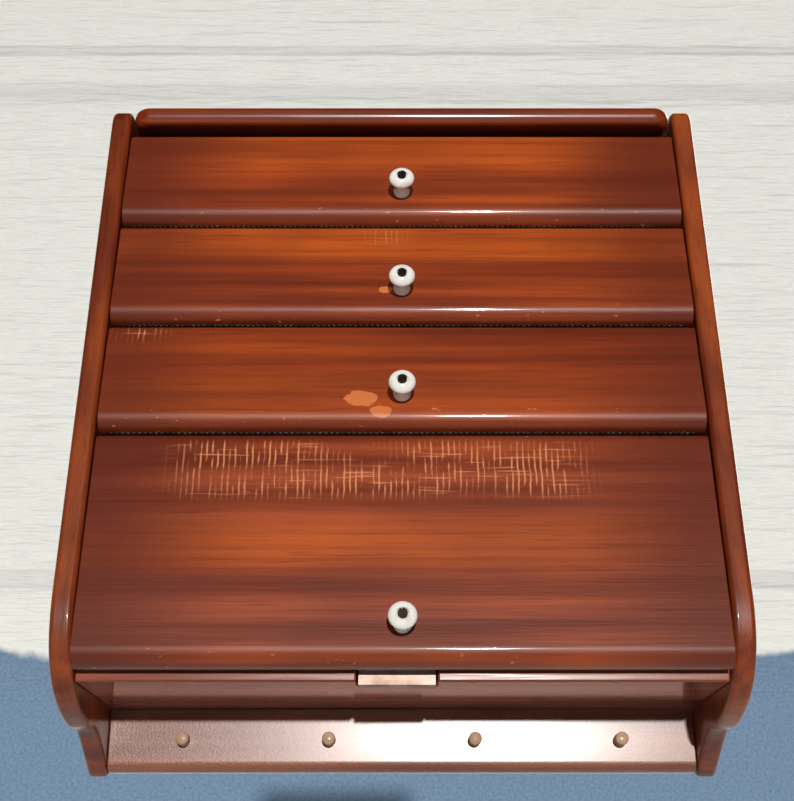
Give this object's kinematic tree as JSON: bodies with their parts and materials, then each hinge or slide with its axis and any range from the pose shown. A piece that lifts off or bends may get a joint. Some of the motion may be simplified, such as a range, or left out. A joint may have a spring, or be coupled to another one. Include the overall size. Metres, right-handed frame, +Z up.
{
  "type": "wall-hung kitchen roll dispenser",
  "caption": "Wall-hung wooden kitchen dispenser with hinged flaps over roll shelves, toothed cutters, a door over a towel rod, porcelain knobs, a magnetic catch and a peg rail.",
  "frame": {"origin": "middle of the hanging rail's back face, in the wall plane", "axes": "+Z up, +Y into the wall, so the front faces -Y, and +X to the right of someone facing the front"},
  "size_m": [0.381, 0.1498, 0.4228],
  "materials": {
    "front_wood": "reddish-brown stain under gloss varnish, worn at the edges",
    "carcass_wood": "dark stain under satin varnish",
    "backing": "thin hardboard, stained",
    "turned_wood": "satin varnish",
    "porcelain": "glossy white glaze",
    "dark_screw": "darkened steel",
    "cutter_steel": "bright rolled steel",
    "pin_steel": "satin",
    "catch_aluminium": "dull, lightly tarnished",
    "magnet": "matt ferrite"
  },
  "bodies": {
    "carcass": {"left_side": "front_wood", "right_side": "front_wood", "top_board": "front_wood", "shelf_1": "carcass_wood", "shelf_2": "carcass_wood", "shelf_3": "carcass_wood", "bottom_board": "carcass_wood", "hanging_rail": "carcass_wood", "peg_rail": "carcass_wood", "rod_socket_left": "carcass_wood", "rod_socket_right": "carcass_wood", "back_panel": "backing", "peg_1": "turned_wood", "peg_2": "turned_wood", "peg_3": "turned_wood", "peg_4": "turned_wood", "flap_1_pin_left": "pin_steel", "flap_1_pin_right": "pin_steel", "flap_2_pin_left": "pin_steel", "flap_2_pin_right": "pin_steel", "flap_3_pin_left": "pin_steel", "flap_3_pin_right": "pin_steel", "towel_door_pin_left": "pin_steel", "towel_door_pin_right": "pin_steel", "catch_case": "catch_aluminium", "catch_magnet": "magnet", "catch_pole_upper": "pin_steel", "catch_pole_lower": "pin_steel", "catch_screw_left": "pin_steel", "catch_screw_right": "pin_steel"},
    "flap_1": {"flap_1": "front_wood", "knob_1": "porcelain", "knob_screw_1": "dark_screw", "cutter_1": "cutter_steel", "cutter_brad_1_left": "cutter_steel", "cutter_brad_1_right": "cutter_steel"},
    "flap_2": {"flap_2": "front_wood", "knob_2": "porcelain", "knob_screw_2": "dark_screw", "cutter_2": "cutter_steel", "cutter_brad_2_left": "cutter_steel", "cutter_brad_2_right": "cutter_steel"},
    "flap_3": {"flap_3": "front_wood", "knob_3": "porcelain", "knob_screw_3": "dark_screw", "cutter_3": "cutter_steel", "cutter_brad_3_left": "cutter_steel", "cutter_brad_3_right": "cutter_steel"},
    "towel_door": {"towel_door": "front_wood", "knob_4": "porcelain", "knob_screw_4": "dark_screw", "strike_block": "carcass_wood", "strike_plate": "pin_steel", "strike_screw": "pin_steel"},
    "towel_rod": {"towel_rod": "turned_wood"}
  },
  "joints": [
    {"name": "flap_1_hinge", "type": "hinge", "parent": "carcass", "child": "flap_1", "pos_m": [0, -0.07933, 0.00337], "axis": [-1, 0, 0], "range_deg": [0, 86]},
    {"name": "flap_2_hinge", "type": "hinge", "parent": "carcass", "child": "flap_2", "pos_m": [0, -0.0889, -0.06931], "axis": [-1, 0, 0], "range_deg": [0, 86]},
    {"name": "flap_3_hinge", "type": "hinge", "parent": "carcass", "child": "flap_3", "pos_m": [0, -0.09847, -0.14198], "axis": [-1, 0, 0], "range_deg": [0, 86]},
    {"name": "towel_door_hinge", "type": "hinge", "parent": "carcass", "child": "towel_door", "pos_m": [0, -0.10804, -0.21465], "axis": [-1, 0, 0], "range_deg": [0, 88]},
    {"name": "towel_rod_spin", "type": "hinge", "parent": "carcass", "child": "towel_rod", "pos_m": [0, -0.057, -0.2765], "axis": [1, 0, 0], "continuous": true}
  ]
}
